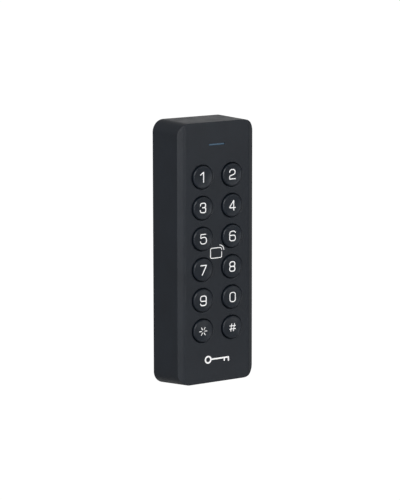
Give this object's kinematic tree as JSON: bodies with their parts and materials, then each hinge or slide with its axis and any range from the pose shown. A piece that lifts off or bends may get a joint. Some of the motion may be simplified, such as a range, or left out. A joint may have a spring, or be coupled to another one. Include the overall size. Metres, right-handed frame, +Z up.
{
  "type": "keypad access reader",
  "caption": "Slim wall-mounted door-entry reader with round push keys in two columns, a light bar, a card antenna inside, a tamper plunger and a steel wall bracket.",
  "frame": {"origin": "centre of the face of the mounting bracket that lies on the wall", "axes": "+Y out of the back into the wall, front face towards -Y, +Z up along the reader, +X right seen from the front"},
  "size_m": [0.0462, 0.0282, 0.139],
  "materials": {
    "housing_plastic": "satin, very fine moulded grain",
    "key_plastic": "smooth satin with white printed legends",
    "light_guide": "translucent blue",
    "silicone": "milky translucent",
    "carbon_rubber": "matt",
    "circuit_board": "solder mask",
    "led_package": "clear over white",
    "former_plastic": "natural nylon",
    "copper_wire": "enamelled",
    "chip_black": "moulded",
    "bright_steel": "zinc plated",
    "gold_contacts": "gold plated",
    "brass": "turned",
    "cover_plastic": "moulded",
    "black_rubber": "matt",
    "bracket_steel": "zinc plated sheet"
  },
  "bodies": {
    "housing": {"front_housing": "housing_plastic", "indicator_light_guide": "light_guide", "key_mat": "silicone", "keypad_board": "circuit_board", "indicator_leds": "led_package", "backlight_leds": "led_package", "coil_former": "former_plastic", "antenna_coil": "copper_wire", "main_board": "circuit_board", "microcontroller": "chip_black", "radio_chip": "chip_black", "bus_transceiver": "chip_black", "crystal": "bright_steel", "filter_capacitor": "bright_steel", "power_inductor": "chip_black", "buzzer": "chip_black", "link_header": "chip_black", "link_pins": "gold_contacts", "wire_header": "former_plastic", "wire_pins": "gold_contacts", "board_spacers": "brass", "board_screws": "bright_steel", "tamper_switch": "chip_black", "tamper_spring": "bright_steel", "rear_cover": "cover_plastic", "cover_seal": "black_rubber", "cover_screws": "bright_steel", "cable_grommet": "black_rubber", "mounting_bracket": "bracket_steel", "lock_insert": "brass", "lock_screw": "bright_steel"},
    "key_1": {"keycap_1": "key_plastic", "contact_pill_1": "carbon_rubber"},
    "key_2": {"keycap_2": "key_plastic", "contact_pill_2": "carbon_rubber"},
    "key_3": {"keycap_3": "key_plastic", "contact_pill_3": "carbon_rubber"},
    "key_4": {"keycap_4": "key_plastic", "contact_pill_4": "carbon_rubber"},
    "key_5": {"keycap_5": "key_plastic", "contact_pill_5": "carbon_rubber"},
    "key_6": {"keycap_6": "key_plastic", "contact_pill_6": "carbon_rubber"},
    "key_7": {"keycap_7": "key_plastic", "contact_pill_7": "carbon_rubber"},
    "key_8": {"keycap_8": "key_plastic", "contact_pill_8": "carbon_rubber"},
    "key_9": {"keycap_9": "key_plastic", "contact_pill_9": "carbon_rubber"},
    "key_0": {"keycap_0": "key_plastic", "contact_pill_0": "carbon_rubber"},
    "key_star": {"keycap_star": "key_plastic", "contact_pill_star": "carbon_rubber"},
    "key_hash": {"keycap_hash": "key_plastic", "contact_pill_hash": "carbon_rubber"},
    "tamper_plunger": {"tamper_plunger": "former_plastic"}
  },
  "joints": [
    {"name": "key_1_press", "type": "slide", "parent": "housing", "child": "key_1", "axis": [0, 1, 0], "range_m": [0, 0.0012], "stiffness_N_per_m": 1500, "springref_m": -0.0003, "deforming": ["key_mat"]},
    {"name": "key_2_press", "type": "slide", "parent": "housing", "child": "key_2", "axis": [0, 1, 0], "range_m": [0, 0.0012], "stiffness_N_per_m": 1500, "springref_m": -0.0003, "deforming": ["key_mat"]},
    {"name": "key_3_press", "type": "slide", "parent": "housing", "child": "key_3", "axis": [0, 1, 0], "range_m": [0, 0.0012], "stiffness_N_per_m": 1500, "springref_m": -0.0003, "deforming": ["key_mat"]},
    {"name": "key_4_press", "type": "slide", "parent": "housing", "child": "key_4", "axis": [0, 1, 0], "range_m": [0, 0.0012], "stiffness_N_per_m": 1500, "springref_m": -0.0003, "deforming": ["key_mat"]},
    {"name": "key_5_press", "type": "slide", "parent": "housing", "child": "key_5", "axis": [0, 1, 0], "range_m": [0, 0.0012], "stiffness_N_per_m": 1500, "springref_m": -0.0003, "deforming": ["key_mat"]},
    {"name": "key_6_press", "type": "slide", "parent": "housing", "child": "key_6", "axis": [0, 1, 0], "range_m": [0, 0.0012], "stiffness_N_per_m": 1500, "springref_m": -0.0003, "deforming": ["key_mat"]},
    {"name": "key_7_press", "type": "slide", "parent": "housing", "child": "key_7", "axis": [0, 1, 0], "range_m": [0, 0.0012], "stiffness_N_per_m": 1500, "springref_m": -0.0003, "deforming": ["key_mat"]},
    {"name": "key_8_press", "type": "slide", "parent": "housing", "child": "key_8", "axis": [0, 1, 0], "range_m": [0, 0.0012], "stiffness_N_per_m": 1500, "springref_m": -0.0003, "deforming": ["key_mat"]},
    {"name": "key_9_press", "type": "slide", "parent": "housing", "child": "key_9", "axis": [0, 1, 0], "range_m": [0, 0.0012], "stiffness_N_per_m": 1500, "springref_m": -0.0003, "deforming": ["key_mat"]},
    {"name": "key_0_press", "type": "slide", "parent": "housing", "child": "key_0", "axis": [0, 1, 0], "range_m": [0, 0.0012], "stiffness_N_per_m": 1500, "springref_m": -0.0003, "deforming": ["key_mat"]},
    {"name": "key_star_press", "type": "slide", "parent": "housing", "child": "key_star", "axis": [0, 1, 0], "range_m": [0, 0.0012], "stiffness_N_per_m": 1500, "springref_m": -0.0003, "deforming": ["key_mat"]},
    {"name": "key_hash_press", "type": "slide", "parent": "housing", "child": "key_hash", "axis": [0, 1, 0], "range_m": [0, 0.0012], "stiffness_N_per_m": 1500, "springref_m": -0.0003, "deforming": ["key_mat"]},
    {"name": "tamper_plunger_slide", "type": "slide", "parent": "housing", "child": "tamper_plunger", "axis": [0, 1, 0], "range_m": [-0.0015, 0], "stiffness_N_per_m": 400, "springref_m": 0.0006, "deforming": ["tamper_spring"]}
  ]
}
